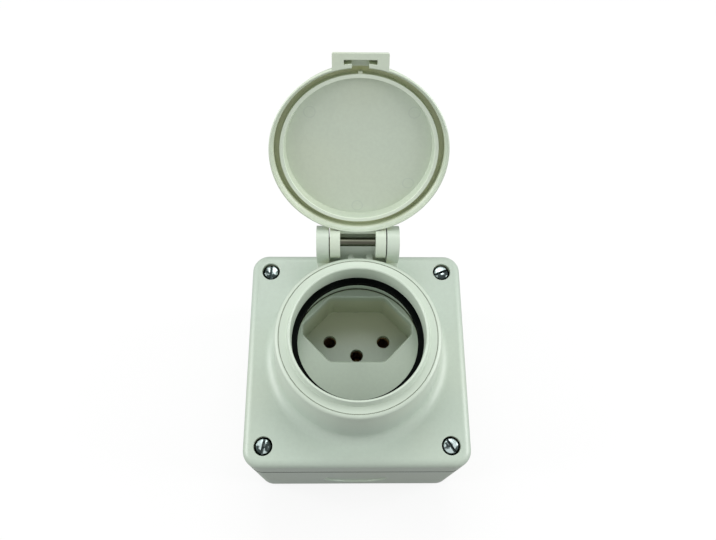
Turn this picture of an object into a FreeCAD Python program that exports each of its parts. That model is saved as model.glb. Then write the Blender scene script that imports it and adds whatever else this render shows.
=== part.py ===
# Outdoor weatherproof socket: a square wall box, a cover with a round collar, a three-pin insert and
# a hinged lid. Sizes are in millimetres. The origin is the middle of the face that lies against the wall.
# +X is right, +Y is up the wall towards the hinge, and +Z is out of the wall. The lid is open, at its stop.
import FreeCAD, Part
import math
import os

# Box and cover
BOX_SIDE = 75.0
BOX_DEPTH = 55.0
CORNER_R = 5.8
WALL = 2.6
FLOOR_T = 3.0
PLATE_T = 3.0
COVER_SKIRT = 13.0
FRONT_EDGE_R = 2.8
BACK_EDGE = 0.8
SEAL_T = 1.4
SEAL_INSET = 0.15

# Clearances: between still pieces, between moving pieces, and of the lid on its pin
FIT_GAP = 0.1
MOVE_GAP = 0.3
PIN_CLEARANCE = 0.05
SCREW_CLEARANCE = 0.25
SCREW_HOLE_GAP = 0.05
PIN_SEAT_GAP = 0.02

# Cover screws
SCREW_INSET = 6.8
SCREW_HEAD_R = 2.55
SCREW_HEAD_H = 1.9
SCREW_SHANK_R = 1.5
SCREW_LENGTH = 30.0
SLOT_W = 0.9
SLOT_DEPTH = 0.9
HEAD_SINK = 0.3
RECESS_GAP = 0.55
WASHER_T = 0.8
BOSS_WALL = 3.0
SLOT_ANGLES = {"top_left": 88.0, "top_right": 22.0, "bottom_left": 80.0, "bottom_right": 122.0}

# Wall fixings and cable knock-out of the box
WALL_HOLE_INSET = 7.7
WALL_HOLE_R = 2.3
KNOCKOUT_R = 11.5
KNOCKOUT_HEIGHT = 18.5
KNOCKOUT_SINK = 0.8
KNOCKOUT_WEB = 0.8

# Collar, with heights above the cover's plate
LIP_TOP_T = 0.75
LIP_FOOT_T = 1.5
LIP_EDGE_R = 0.35
COLLAR_H = 25.8
LIP_STEP = 2.8
SHOULDER_W = 2.2
LINE_W = 0.25
LINE_DEPTH = 0.3
BEAD_R = 1.3
COLLAR_DRAFT = 1.4
FLARE_R = 4.4
SLEEVE_T = 2.1
COLLAR_WALL = 2.6
CORE_H = 12.0

# Gasket round the plug
GASKET_REACH = 1.7
GASKET_T = 2.4
GASKET_H = 17.7
GASKET_SEAT = 0.9

# Socket insert: face, six-sided plug recess and pin holes
FACE_H = 8.4
FACE_T = 2.4
FACE_EDGE = 0.3
FACE_SKIRT_T = 1.8
FACE_SKIRT_H = 12.0
RECESS_DEPTH = 15.5
RECESS_W = 36.6
RECESS_END_H = 3.4
RECESS_H = 22.4
RECESS_FLAT_W = 18.4
RECESS_END_R = 1.2
RECESS_FLAT_R = 3.0
RECESS_EDGE = 0.4
RECESS_END_WALL = 0.75
RECESS_WALL = 1.6
RECESS_FLOOR_T = 2.2
PIN_LINE_Y = 6.5
PIN_PITCH = 19.0
EARTH_DROP = 5.0
PIN_HOLE_R = 2.25

# Insert body, contacts and their screws
STRAP_INSET = 10.5
HEAD_TO_BODY = 3.0
BODY_L = 26.0
BODY_H = 18.0
BODY_CORNER_R = 2.5
STRAP_DROP = 6.0
STRAP_T = 3.0
STRAP_R = 4.5
POST_R = 4.0
INSERT_SCREW_R = 1.5
INSERT_HEAD_R = 3.0
INSERT_HEAD_H = 1.9
INSERT_SCREW_LENGTH = 14.0
SLEEVE_BORE_R = 2.05
SLEEVE_WALL = 0.8
SLEEVE_H = 10.6
SLEEVE_SPLIT = 0.6
CHAMBER_DEPTH = 11.0
TERMINAL_SIDE = 7.0
TERMINAL_H = 6.5
WIRE_HOLE_R = 1.4
TERMINAL_SCREW_R = 1.2
TERMINAL_HEAD_R = 2.0
TERMINAL_HEAD_H = 1.4
TERMINAL_SCREW_LENGTH = 3.0

# Lid and hinge
OPEN_ANGLE = 122.8
LID_OVERHANG = 0.95
LID_WALL = 1.45
LID_TOP_T = 2.4
LID_EDGE_R = 3.0
LID_DRAFT = 0.9
LID_LAP = 1.6
LID_RIM_R = 0.3
RIM_GAP = 0.35
RIB_T = 1.2
RIB_DRAFT = 0.5
GROOVE_DEPTH = 2.2
LIP_HEADROOM = 0.4
TAB_W = 16.1
TAB_REACH = 3.3
TAB_T = 5.6
TAB_TIP_R = 5.4
TAB_EDGE = 0.3
CATCH_BAR_W = 9.4
CATCH_NEAR = 0.4
CATCH_FAR = 1.4
CATCH_STEM_W = 4.85
CATCH_DEPTH = 3.4
NUB_W = 1.2
NUB_H = 1.4
HINGE_DROP = 0.2
KNUCKLE_R = 5.3
KNUCKLE_W = 3.3
KNUCKLE_SPACE = 11.6
EAR_T = 4.05
EAR_SIDE_GAP = 0.35
EAR_RIM_GAP = 0.87
PIN_R = 1.5
PIN_INSET = 0.6
SHIELD_T = 2.2
SHIELD_END = 60.0
HEEL_H = 1.4
HEEL_SPAN = 44.0
HEEL_CLEARANCE = 1.9
STOP_T = 3.0
NIB_W = 2.1
NIB_REACH = 3.5
NIB_H = 3.5
NIB_X = (-2.2, 4.0)

# Straight steps in each rounded edge of a turned outline
ARC_STEPS = 3

# Places that follow from the sizes above
FACE_Z = BOX_DEPTH
COVER_LOW = FACE_Z - COVER_SKIRT
BASE_TOP = COVER_LOW - SEAL_T
PLATE_BACK = FACE_Z - PLATE_T
HEAD_TOP = FACE_Z - HEAD_SINK
HEAD_SEAT = HEAD_TOP - SCREW_HEAD_H - WASHER_T
HEAD_RECESS_R = SCREW_HEAD_R + RECESS_GAP
BOSS_R = HEAD_RECESS_R + BOSS_WALL - WALL / 2
SCREW_SQUARE = BOX_SIDE - 2 * SCREW_INSET
WALL_HOLE_PITCH = SCREW_SQUARE - 2 * WALL_HOLE_INSET
RECESS_END_REACH = math.hypot(RECESS_W / 2, PIN_LINE_Y + RECESS_END_H / 2)
RECESS_FLAT_REACH = math.hypot(RECESS_FLAT_W / 2, PIN_LINE_Y + RECESS_H / 2)
INSERT_R = max(RECESS_END_REACH, RECESS_FLAT_REACH) + RECESS_END_WALL
BORE_R = INSERT_R + MOVE_GAP
GASKET_IN_R = BORE_R - GASKET_REACH
LIP_Z = FACE_Z + COLLAR_H
SHOULDER_Z = LIP_Z - LIP_STEP
BEAD_Z = SHOULDER_Z - BEAD_R
LIP_FOOT_R = BORE_R + LIP_FOOT_T
LINE_R = LIP_FOOT_R + SHOULDER_W
COLLAR_TOP_R = LINE_R + LINE_W + BEAD_R
COLLAR_FOOT_R = COLLAR_TOP_R + COLLAR_DRAFT
SLEEVE_R = BORE_R + SLEEVE_T
FACE_TOP = FACE_Z + FACE_H
FACE_MIDDLE = FACE_TOP - FACE_T / 2 - FACE_EDGE
RECESS_FLOOR = FACE_TOP - RECESS_DEPTH
BODY_TOP = RECESS_FLOOR - RECESS_FLOOR_T
BODY_LOW = BODY_TOP - BODY_H
BODY_Y = PIN_LINE_Y - EARTH_DROP / 2
STRAP_PITCH = BOX_SIDE - 2 * STRAP_INSET
BODY_W = STRAP_PITCH - 2 * (INSERT_HEAD_R + HEAD_TO_BODY)
STRAP_TOP = BODY_TOP - STRAP_DROP
STRAP_LOW = STRAP_TOP - STRAP_T
BLOCK_TOP = BODY_TOP - CHAMBER_DEPTH
BLOCK_LOW = BLOCK_TOP - TERMINAL_H
RIM_Z = SHOULDER_Z + MOVE_GAP
LAP_Z = SHOULDER_Z - LID_LAP
RIB_IN_R = LIP_FOOT_R + LIP_HEADROOM
RIB_OUT_R = RIB_IN_R + RIB_T
LID_R = COLLAR_TOP_R + LID_OVERHANG
LID_FLOOR_Z = LIP_Z + LIP_HEADROOM
LID_TOP_Z = LID_FLOOR_Z + LID_TOP_T
KNUCKLE_X = KNUCKLE_SPACE / 2
KNUCKLE_OUT_X = KNUCKLE_X + KNUCKLE_W
EAR_X = KNUCKLE_OUT_X + EAR_SIDE_GAP
EAR_OUT_X = EAR_X + EAR_T
HINGE_Y = math.sqrt(LID_R ** 2 - EAR_X ** 2) + EAR_RIM_GAP + KNUCKLE_R
HINGE_Z = RIM_Z - HINGE_DROP
HINGE_FLOOR_Z = HINGE_Z - KNUCKLE_R - HEEL_H - HEEL_CLEARANCE
HINGE_BACK_Y = HINGE_Y + KNUCKLE_R
PINS = {
    "line": (-PIN_PITCH / 2, PIN_LINE_Y),
    "neutral": (PIN_PITCH / 2, PIN_LINE_Y),
    "earth": (0.0, PIN_LINE_Y - EARTH_DROP),
}
SCREW_PLACES = {
    "top_left": (-SCREW_SQUARE / 2, SCREW_SQUARE / 2),
    "top_right": (SCREW_SQUARE / 2, SCREW_SQUARE / 2),
    "bottom_left": (-SCREW_SQUARE / 2, -SCREW_SQUARE / 2),
    "bottom_right": (SCREW_SQUARE / 2, -SCREW_SQUARE / 2),
}
SIDES = {"left": -1, "right": 1}
X_AXIS = FreeCAD.Vector(1, 0, 0)
Y_AXIS = FreeCAD.Vector(0, 1, 0)
Z_AXIS = FreeCAD.Vector(0, 0, 1)


def vec(x, y, z):
    return FreeCAD.Vector(x, y, z)


def block(x0, x1, y0, y1, z0, z1):
    return Part.makeBox(x1 - x0, y1 - y0, z1 - z0, vec(x0, y0, z0))


def rod(radius, z0, z1, x=0.0, y=0.0):
    return Part.makeCylinder(radius, z1 - z0, vec(x, y, z0))


def up_rod(radius, y, length, x, z):
    """A cylinder that runs along +Y from a point."""
    return Part.makeCylinder(radius, length, vec(x, y, z), Y_AXIS)


def cross_rod(radius, x0, x1):
    """A cylinder on the hinge axis."""
    return Part.makeCylinder(radius, x1 - x0, vec(x0, HINGE_Y, HINGE_Z), X_AXIS)


def tube(outer, inner, z0, z1, x=0.0, y=0.0):
    return rod(outer, z0, z1, x, y).cut(rod(inner, z0 - 1, z1 + 1, x, y))


def upright_edges(shape):
    return [e for e in shape.Edges if abs(e.tangentAt(e.FirstParameter).z) > 0.999]


def level_edges(shape, z):
    return [e for e in shape.Edges if abs(e.BoundBox.ZMin - z) < 1e-4 and abs(e.BoundBox.ZMax - z) < 1e-4]


def square_slab(side, corner, z0, z1):
    """A square plate or block with rounded corners, on the box's middle line."""
    half = side / 2
    slab = block(-half, half, -half, half, z0, z1)
    return slab.makeFillet(corner, upright_edges(slab))


def square_ring(outer_side, corner, width, z0, z1):
    """A band of one width that follows the rounded square."""
    outer = square_slab(outer_side, corner, z0, z1)
    return outer.cut(square_slab(outer_side - 2 * width, corner - width, z0 - 1, z1 + 1))


def steps(start, end):
    """Angles in radians at even steps between two angles in degrees."""
    return [math.radians(start + (end - start) * i / ARC_STEPS) for i in range(ARC_STEPS + 1)]


def turned(points):
    """A closed outline of (radius, height) points turned about the collar's axis."""
    corners = [vec(r, 0, z) for r, z in points]
    outline = Part.Face(Part.makePolygon(corners + corners[:1]))
    return outline.revolve(vec(0, 0, 0), Z_AXIS, 360)


def fused(*shapes):
    whole = shapes[0]
    for shape in shapes[1:]:
        whole = whole.fuse(shape)
    return whole.removeSplitter()


def arc_points(centre_r, centre_z, radius, start, end):
    """Points on an arc in the (radius, height) plane, for a turned outline."""
    angles = steps(start, end)
    return [(centre_r + radius * math.cos(a), centre_z + radius * math.sin(a)) for a in angles]


def collar():
    """Round collar: lip, shoulder with a fine line, rounded edge, drafted side, flared foot, cored behind."""
    flare_z = FACE_Z + FLARE_R
    low = PLATE_BACK
    core_top = FACE_Z + CORE_H
    core_out_r = COLLAR_FOOT_R - COLLAR_WALL
    profile = [(BORE_R, low), (BORE_R, LIP_Z - LIP_EDGE_R)]
    profile += [(BORE_R + LIP_EDGE_R, LIP_Z), (BORE_R + LIP_TOP_T, LIP_Z), (LIP_FOOT_R, SHOULDER_Z)]
    line_z = SHOULDER_Z - LINE_DEPTH
    profile += [(LINE_R, SHOULDER_Z), (LINE_R, line_z), (LINE_R + LINE_W, line_z)]
    profile += arc_points(COLLAR_TOP_R - BEAD_R, BEAD_Z, BEAD_R, 90, 0)
    profile += arc_points(COLLAR_FOOT_R + FLARE_R, flare_z, FLARE_R, 180, 270)
    profile += [(COLLAR_FOOT_R + FLARE_R, low), (core_out_r, low), (core_out_r, core_top)]
    profile += [(SLEEVE_R, core_top), (SLEEVE_R, low)]
    return turned(profile)


def gasket_seat():
    return tube(BORE_R + GASKET_SEAT, BORE_R - 1, seat_low(), seat_low() + GASKET_T + 2 * FIT_GAP)


def seat_low():
    return FACE_Z + GASKET_H - GASKET_T - FIT_GAP


def hinge_carrier():
    """Two ears, the floor between them, the stops under the knuckles and two nibs by the collar."""
    root_y = COLLAR_TOP_R - COLLAR_WALL
    root_z = FACE_Z - PLATE_T / 2
    pieces = [block(-EAR_OUT_X, EAR_OUT_X, root_y, HINGE_BACK_Y - MOVE_GAP, root_z, HINGE_FLOOR_Z)]
    for side in SIDES.values():
        x0, x1 = sorted((side * EAR_X, side * EAR_OUT_X))
        front = HINGE_Y - KNUCKLE_R
        pieces.append(cross_rod(KNUCKLE_R, x0, x1))
        pieces.append(block(x0, x1, front, HINGE_BACK_Y, root_z, HINGE_Z))
        pieces.append(block(x0, x1, root_y, HINGE_Y, root_z, HINGE_Z - KNUCKLE_R))
        x0, x1 = sorted((side * KNUCKLE_X, side * EAR_X))
        stop_top = HINGE_Z - KNUCKLE_R - MOVE_GAP
        pieces.append(block(x0, x1, HINGE_Y - STOP_T, HINGE_Y, HINGE_FLOOR_Z - 1, stop_top))
    nib_back = COLLAR_TOP_R + NIB_REACH
    nib_top = HINGE_FLOOR_Z + NIB_H
    for x in NIB_X:
        pieces.append(block(x - NIB_W / 2, x + NIB_W / 2, root_y, nib_back, HINGE_FLOOR_Z - 1, nib_top))
    return fused(*pieces)


def cover():
    shell = square_slab(BOX_SIDE, CORNER_R, COVER_LOW, FACE_Z)
    shell = shell.makeFillet(FRONT_EDGE_R, level_edges(shell, FACE_Z))
    shell = shell.cut(square_slab(BOX_SIDE - 2 * WALL, CORNER_R - WALL, COVER_LOW - 1, PLATE_BACK))
    shell = shell.cut(rod(COLLAR_FOOT_R, PLATE_BACK - 1, FACE_Z + 1))
    bosses = [rod(BOSS_R, COVER_LOW, PLATE_BACK + 1, x, y) for x, y in SCREW_PLACES.values()]
    body = fused(shell, collar(), *bosses)
    body = fused(body, hinge_carrier().cut(rod(COLLAR_TOP_R - 1, PLATE_BACK, LIP_Z + 1)))
    body = body.cut(gasket_seat())
    body = body.cut(cross_rod(PIN_R + PIN_SEAT_GAP, -EAR_OUT_X - 1, EAR_OUT_X + 1))
    for x, y in SCREW_PLACES.values():
        body = body.cut(rod(HEAD_RECESS_R, HEAD_SEAT, FACE_Z + 1, x, y))
        body = body.cut(rod(SCREW_SHANK_R + SCREW_CLEARANCE, COVER_LOW - 1, HEAD_SEAT + 1, x, y))
    return body


def base_box():
    """The box on the wall: posts for the cover and the insert, fixing holes and a cable knock-out."""
    shell = square_slab(BOX_SIDE, CORNER_R, 0, BASE_TOP)
    shell = shell.makeChamfer(BACK_EDGE, level_edges(shell, 0))
    shell = shell.cut(square_slab(BOX_SIDE - 2 * WALL, CORNER_R - WALL, FLOOR_T, BASE_TOP + 1))
    posts = [rod(BOSS_R, FLOOR_T - 1, BASE_TOP, x, y) for x, y in SCREW_PLACES.values()]
    posts += [rod(POST_R, FLOOR_T - 1, STRAP_LOW, side * STRAP_PITCH / 2, BODY_Y) for side in SIDES.values()]
    pitch = WALL_HOLE_PITCH / 2
    wall_holes = [(i * pitch, j * pitch) for i in (-1, 1) for j in (-1, 1)]
    box = fused(shell, *posts)
    for x, y in wall_holes:
        box = box.cut(rod(WALL_HOLE_R, -1, FLOOR_T + 1, x, y))
    for x, y in SCREW_PLACES.values():
        box = box.cut(rod(SCREW_SHANK_R + SCREW_HOLE_GAP, HEAD_SEAT - SCREW_LENGTH - 1, BASE_TOP + 1, x, y))
    for side in SIDES.values():
        x = side * STRAP_PITCH / 2
        low = STRAP_TOP - INSERT_SCREW_LENGTH - 1
        box = box.cut(rod(INSERT_SCREW_R + SCREW_HOLE_GAP, low, STRAP_LOW + 1, x, BODY_Y))
    return box.cut(knockout_cut())


def knockout_cut():
    """A shallow round recess outside and one inside leave a thin web to knock out."""
    outside = -BOX_SIDE / 2
    recess = up_rod(KNOCKOUT_R, outside, KNOCKOUT_SINK, 0, KNOCKOUT_HEIGHT)
    inner_y = outside + KNOCKOUT_SINK + KNOCKOUT_WEB
    return recess.fuse(up_rod(KNOCKOUT_R, inner_y, WALL, 0, KNOCKOUT_HEIGHT))


def base_seal():
    width = WALL - 2 * SEAL_INSET
    return square_ring(BOX_SIDE - 2 * SEAL_INSET, CORNER_R - SEAL_INSET, width, BASE_TOP, COVER_LOW)


def slotted_screw(head_r, head_h, shank_r, length, slot_angle):
    """A slotted screw that points down, with the underside of its head at height 0."""
    head = rod(head_r, 0, head_h)
    slot = block(-head_r - 1, head_r + 1, -SLOT_W / 2, SLOT_W / 2, head_h - SLOT_DEPTH, head_h + 1)
    slot.rotate(vec(0, 0, 0), Z_AXIS, slot_angle)
    return fused(head, rod(shank_r, -length, 0)).cut(slot)


def moved(shape, x, y, z):
    shape = shape.copy()
    shape.translate(vec(x, y, z))
    return shape


def cover_screw(name):
    x, y = SCREW_PLACES[name]
    screw = slotted_screw(SCREW_HEAD_R, SCREW_HEAD_H, SCREW_SHANK_R, SCREW_LENGTH, SLOT_ANGLES[name])
    return moved(screw, x, y, HEAD_SEAT + WASHER_T)


def cover_washer(name):
    x, y = SCREW_PLACES[name]
    return tube(HEAD_RECESS_R - FIT_GAP, SCREW_SHANK_R + FIT_GAP, HEAD_SEAT, HEAD_SEAT + WASHER_T, x, y)


def collar_gasket():
    low = FACE_Z + GASKET_H - GASKET_T
    return tube(BORE_R + GASKET_SEAT - FIT_GAP, GASKET_IN_R, low, low + GASKET_T)


def recess_prism(grow, z0, z1):
    """The long six-sided plug shape with blunt ends; grow moves each side out."""
    end_x, end_y = RECESS_W / 2, RECESS_END_H / 2
    flat_x, flat_y = RECESS_FLAT_W / 2, RECESS_H / 2
    upper = [(end_x, end_y), (flat_x, flat_y), (-flat_x, flat_y), (-end_x, end_y)]
    ring = upper + [(-x, -y) for x, y in upper]
    corners = [vec(x, PIN_LINE_Y + y, z0) for x, y in ring]
    prism = Part.Face(Part.makePolygon(corners + corners[:1])).extrude(vec(0, 0, z1 - z0))
    ends = [e for e in upright_edges(prism) if abs(e.CenterOfMass.x) > end_x - 0.1]
    prism = prism.makeFillet(RECESS_END_R, ends)
    flats = [e for e in upright_edges(prism) if abs(abs(e.CenterOfMass.x) - flat_x) < 0.1]
    prism = prism.makeFillet(RECESS_FLAT_R, flats)
    if grow == 0:
        return prism
    section = prism.slice(Z_AXIS, (z0 + z1) / 2)[0]
    wider = Part.Face(section.makeOffset2D(grow))
    return moved(wider, 0, 0, z0 - (z0 + z1) / 2).extrude(vec(0, 0, z1 - z0))


def socket_face():
    """Round face and its skirt, with the walls of the plug recess behind it."""
    disc = rod(INSERT_R, FACE_TOP - FACE_T, FACE_TOP)
    disc = disc.makeChamfer(FACE_EDGE, level_edges(disc, FACE_TOP))
    skirt = tube(INSERT_R, INSERT_R - FACE_SKIRT_T, FACE_TOP - FACE_SKIRT_H, FACE_MIDDLE)
    body = fused(disc, skirt, recess_wall(RECESS_FLOOR, FACE_MIDDLE))
    body = body.cut(recess_prism(0, RECESS_FLOOR - 1, FACE_TOP + 1))
    mouth = [e for e in level_edges(body, FACE_TOP) if e.Length < math.pi * INSERT_R]
    return body.makeChamfer(RECESS_EDGE, mouth)


def recess_wall(z0, z1):
    """The recess's outline with its wall added, as far as the round face reaches."""
    return recess_prism(RECESS_WALL, z0, z1).common(rod(INSERT_R, z0, z1))


def socket_body():
    """The insert's rear moulding: recess floor with its pin holes, a chamber for each contact, and a strap."""
    half_w, half_l = BODY_W / 2, BODY_L / 2
    core = block(-half_w, half_w, BODY_Y - half_l, BODY_Y + half_l, BODY_LOW, BODY_TOP)
    core = core.makeFillet(BODY_CORNER_R, upright_edges(core))
    reach = STRAP_PITCH / 2
    strap = block(-reach, reach, BODY_Y - STRAP_R, BODY_Y + STRAP_R, STRAP_LOW, STRAP_TOP)
    ends = [rod(STRAP_R, STRAP_LOW, STRAP_TOP, side * reach, BODY_Y) for side in SIDES.values()]
    body = fused(core, strap, recess_wall(BODY_TOP, RECESS_FLOOR), *ends)
    screw_hole_r = INSERT_SCREW_R + SCREW_CLEARANCE
    for side in SIDES.values():
        body = body.cut(rod(screw_hole_r, STRAP_LOW - 1, STRAP_TOP + 1, side * reach, BODY_Y))
    pocket = TERMINAL_SIDE / 2 + FIT_GAP
    for x, y in PINS.values():
        body = body.cut(rod(SLEEVE_BORE_R + SLEEVE_WALL + FIT_GAP, BLOCK_TOP - 1, BODY_TOP, x, y))
        body = body.cut(rod(PIN_HOLE_R, BODY_TOP - 1, RECESS_FLOOR + 1, x, y))
        body = body.cut(block(x - pocket, x + pocket, y - pocket, y + pocket, BODY_LOW - 1, BLOCK_TOP))
        body = body.cut(up_rod(WIRE_HOLE_R + FIT_GAP, y - BODY_L, BODY_L, x, wire_z()))
    return body


def wire_z():
    return (BLOCK_TOP + BLOCK_LOW + TERMINAL_SCREW_LENGTH) / 2


def contact(name):
    """A split brass sleeve on a terminal block with a wire hole and a screw hole."""
    x, y = PINS[name]
    half = TERMINAL_SIDE / 2
    terminal = block(x - half, x + half, y - half, y + half, BLOCK_LOW, BLOCK_TOP)
    sleeve = rod(SLEEVE_BORE_R + SLEEVE_WALL, BLOCK_TOP, BLOCK_TOP + SLEEVE_H, x, y)
    piece = fused(terminal, sleeve).cut(rod(SLEEVE_BORE_R, BLOCK_TOP, BLOCK_TOP + SLEEVE_H + 1, x, y))
    split = SLEEVE_SPLIT / 2
    piece = piece.cut(block(x - half, x + half, y - split, y + split, BLOCK_TOP + SLEEVE_WALL, BODY_TOP + 1))
    piece = piece.cut(up_rod(WIRE_HOLE_R, y - TERMINAL_SIDE, 2 * TERMINAL_SIDE, x, wire_z()))
    return piece.cut(rod(TERMINAL_SCREW_R + SCREW_HOLE_GAP, BLOCK_LOW - 1, wire_z(), x, y))


def terminal_screw(name):
    x, y = PINS[name]
    screw = slotted_screw(TERMINAL_HEAD_R, TERMINAL_HEAD_H, TERMINAL_SCREW_R, TERMINAL_SCREW_LENGTH, 0)
    screw.rotate(vec(0, 0, 0), X_AXIS, 180)
    return moved(screw, x, y, BLOCK_LOW)


def insert_screw(side):
    screw = slotted_screw(INSERT_HEAD_R, INSERT_HEAD_H, INSERT_SCREW_R, INSERT_SCREW_LENGTH, 0)
    return moved(screw, side * STRAP_PITCH / 2, BODY_Y, STRAP_TOP)


def hinge_pin():
    half = EAR_OUT_X - PIN_INSET
    return cross_rod(PIN_R, -half, half)


def lid_cap():
    """Round lid, closed: a wall that laps the collar's edge, seal groove, inner rib and a raised floor."""
    groove_r = LID_R - LID_WALL
    groove_top = RIM_Z + GROOVE_DEPTH
    bead_r = COLLAR_TOP_R - BEAD_R
    lap_r = BEAD_R + RIM_GAP
    lap_start = math.degrees(math.acos((groove_r - bead_r) / lap_r))
    lap_end = math.degrees(math.asin((LAP_Z - BEAD_Z) / lap_r))
    edge_r = LID_R - LID_DRAFT - LID_EDGE_R
    profile = [(0, LID_FLOOR_Z), (RIB_IN_R - RIB_DRAFT, LID_FLOOR_Z), (RIB_IN_R, RIM_Z), (RIB_OUT_R, RIM_Z)]
    profile += [(RIB_OUT_R, groove_top), (groove_r, groove_top)]
    profile += arc_points(bead_r, BEAD_Z, lap_r, lap_start, lap_end)
    profile += [(LID_R - LID_RIM_R, LAP_Z), (LID_R, LAP_Z + LID_RIM_R)]
    profile += arc_points(edge_r, LID_TOP_Z - LID_EDGE_R, LID_EDGE_R, 0, 90)
    profile += [(0, LID_TOP_Z)]
    return turned(profile)


def lift_tab():
    """The thumb tab at the lid's free edge, rounded off towards its tip."""
    far = LID_R + TAB_REACH
    top = LAP_Z + TAB_T
    tab = block(-TAB_W / 2, TAB_W / 2, -far, 0, LAP_Z, top)
    tip = [e for e in level_edges(tab, top) if e.CenterOfMass.y < 1 - far]
    tab = tab.makeFillet(TAB_TIP_R, tip)
    corners = [e for e in upright_edges(tab) if e.CenterOfMass.y < 1 - far]
    tab = tab.makeChamfer(TAB_EDGE, corners)
    return tab.cut(rod(LID_R - LID_WALL / 2, LAP_Z - 1, LID_TOP_Z))


def catch_recess():
    """The T-shaped recess in the tab, whose stem opens into the seal groove."""
    far = -(LID_R + CATCH_FAR)
    low, top = LAP_Z - 1, LAP_Z + CATCH_DEPTH
    bar = block(-CATCH_BAR_W / 2, CATCH_BAR_W / 2, far, 0, low, top)
    stem = block(-CATCH_STEM_W / 2, CATCH_STEM_W / 2, far, 0, low, top)
    bar = bar.cut(rod(LID_R + CATCH_NEAR, low - 1, top + 1))
    return bar.fuse(stem.cut(rod(RIB_OUT_R, low - 1, top + 1)))


def hinge_sector(radius, start, end, x0, x1):
    """A slice of a cylinder on the hinge axis, from one angle to another, measured from +Y towards +Z."""
    reach = 2 * radius
    fan = [vec(x0, HINGE_Y, HINGE_Z)]
    fan += [vec(x0, HINGE_Y + reach * math.cos(a), HINGE_Z + reach * math.sin(a)) for a in steps(start, end)]
    wedge = Part.Face(Part.makePolygon(fan + fan[:1])).extrude(vec(x1 - x0, 0, 0))
    return cross_rod(radius, x0, x1).common(wedge)


def lid_hinge():
    """Two knuckles with stop heels, the shield between them and the web that joins them to the lid."""
    barrel_top = HINGE_Z + KNUCKLE_R
    heel_start = OPEN_ANGLE - 90 + math.degrees(MOVE_GAP / KNUCKLE_R)
    shield = hinge_sector(KNUCKLE_R, SHIELD_END, 180, -KNUCKLE_X, KNUCKLE_X)
    web = block(-KNUCKLE_OUT_X, KNUCKLE_OUT_X, 0, HINGE_Y, RIM_Z + LID_RIM_R, min(barrel_top, LID_TOP_Z))
    web = web.cut(rod(LID_R - LID_WALL / 2, RIM_Z - 1, LID_TOP_Z + 1))
    hollow = cross_rod(KNUCKLE_R - SHIELD_T, -KNUCKLE_X, KNUCKLE_X)
    pieces = [fused(shield, web).cut(hollow)]
    for side in SIDES.values():
        x0, x1 = sorted((side * KNUCKLE_X, side * KNUCKLE_OUT_X))
        pieces.append(cross_rod(KNUCKLE_R, x0, x1))
        pieces.append(hinge_sector(KNUCKLE_R + HEEL_H, heel_start, heel_start + HEEL_SPAN, x0, x1))
    return fused(*pieces).cut(cross_rod(PIN_R + PIN_CLEARANCE, -EAR_X, EAR_X))


def lid():
    nub = block(-NUB_W / 2, NUB_W / 2, -RIB_OUT_R - NUB_H / 2, -RIB_OUT_R + RIB_T / 2, RIM_Z, RIM_Z + NUB_H)
    closed = fused(lid_cap(), lift_tab(), lid_hinge()).cut(catch_recess()).fuse(nub).removeSplitter()
    closed.rotate(vec(0, HINGE_Y, HINGE_Z), X_AXIS, -OPEN_ANGLE)
    return closed


def build():
    nodes = {"base_box": base_box(), "base_seal": base_seal(), "cover": cover()}
    nodes["collar_gasket"] = collar_gasket()
    for place in SCREW_PLACES:
        nodes["cover_screw_" + place] = cover_screw(place)
        nodes["screw_washer_" + place] = cover_washer(place)
    nodes["socket_face"] = socket_face()
    nodes["socket_body"] = socket_body()
    for name in PINS:
        nodes["contact_" + name] = contact(name)
        nodes["terminal_screw_" + name] = terminal_screw(name)
    for name, side in SIDES.items():
        nodes["insert_screw_" + name] = insert_screw(side)
    nodes["hinge_pin"] = hinge_pin()
    nodes["lid"] = lid()
    return nodes


def main():
    os.makedirs("parts", exist_ok=True)
    for name, shape in build().items():
        solids = shape.Solids
        print(name, len(solids), "valid" if shape.isValid() else "NOT VALID", round(shape.Volume, 1))
        whole = solids[0] if len(solids) == 1 else shape
        whole.exportStep("parts/" + name + ".step")


main()
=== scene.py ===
"""Looks of the outdoor weatherproof socket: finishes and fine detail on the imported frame, on a pale floor.

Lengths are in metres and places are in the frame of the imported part. The box lies on its back on the floor.
"""
import math

import bmesh
import bpy
from mathutils import Matrix, Vector


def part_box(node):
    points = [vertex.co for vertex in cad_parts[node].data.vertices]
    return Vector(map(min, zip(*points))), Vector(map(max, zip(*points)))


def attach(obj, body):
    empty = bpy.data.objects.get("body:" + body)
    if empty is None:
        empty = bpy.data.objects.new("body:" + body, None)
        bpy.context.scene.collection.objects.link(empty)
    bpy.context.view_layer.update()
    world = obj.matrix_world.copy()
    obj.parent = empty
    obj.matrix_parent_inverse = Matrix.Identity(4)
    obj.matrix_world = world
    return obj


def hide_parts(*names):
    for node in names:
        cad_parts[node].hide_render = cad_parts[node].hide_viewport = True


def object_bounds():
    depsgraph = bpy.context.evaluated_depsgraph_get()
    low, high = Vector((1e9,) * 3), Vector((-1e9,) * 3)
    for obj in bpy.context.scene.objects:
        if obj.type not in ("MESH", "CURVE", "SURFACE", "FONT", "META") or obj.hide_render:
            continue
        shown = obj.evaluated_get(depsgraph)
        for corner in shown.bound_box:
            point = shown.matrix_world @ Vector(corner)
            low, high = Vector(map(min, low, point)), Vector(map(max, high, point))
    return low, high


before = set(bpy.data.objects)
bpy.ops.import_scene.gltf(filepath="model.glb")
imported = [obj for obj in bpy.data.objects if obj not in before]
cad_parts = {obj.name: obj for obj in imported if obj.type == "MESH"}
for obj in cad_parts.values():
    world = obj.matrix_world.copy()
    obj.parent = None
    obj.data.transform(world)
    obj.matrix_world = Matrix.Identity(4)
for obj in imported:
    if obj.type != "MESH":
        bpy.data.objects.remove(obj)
CAD_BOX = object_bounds()
MM = 0.001

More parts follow.
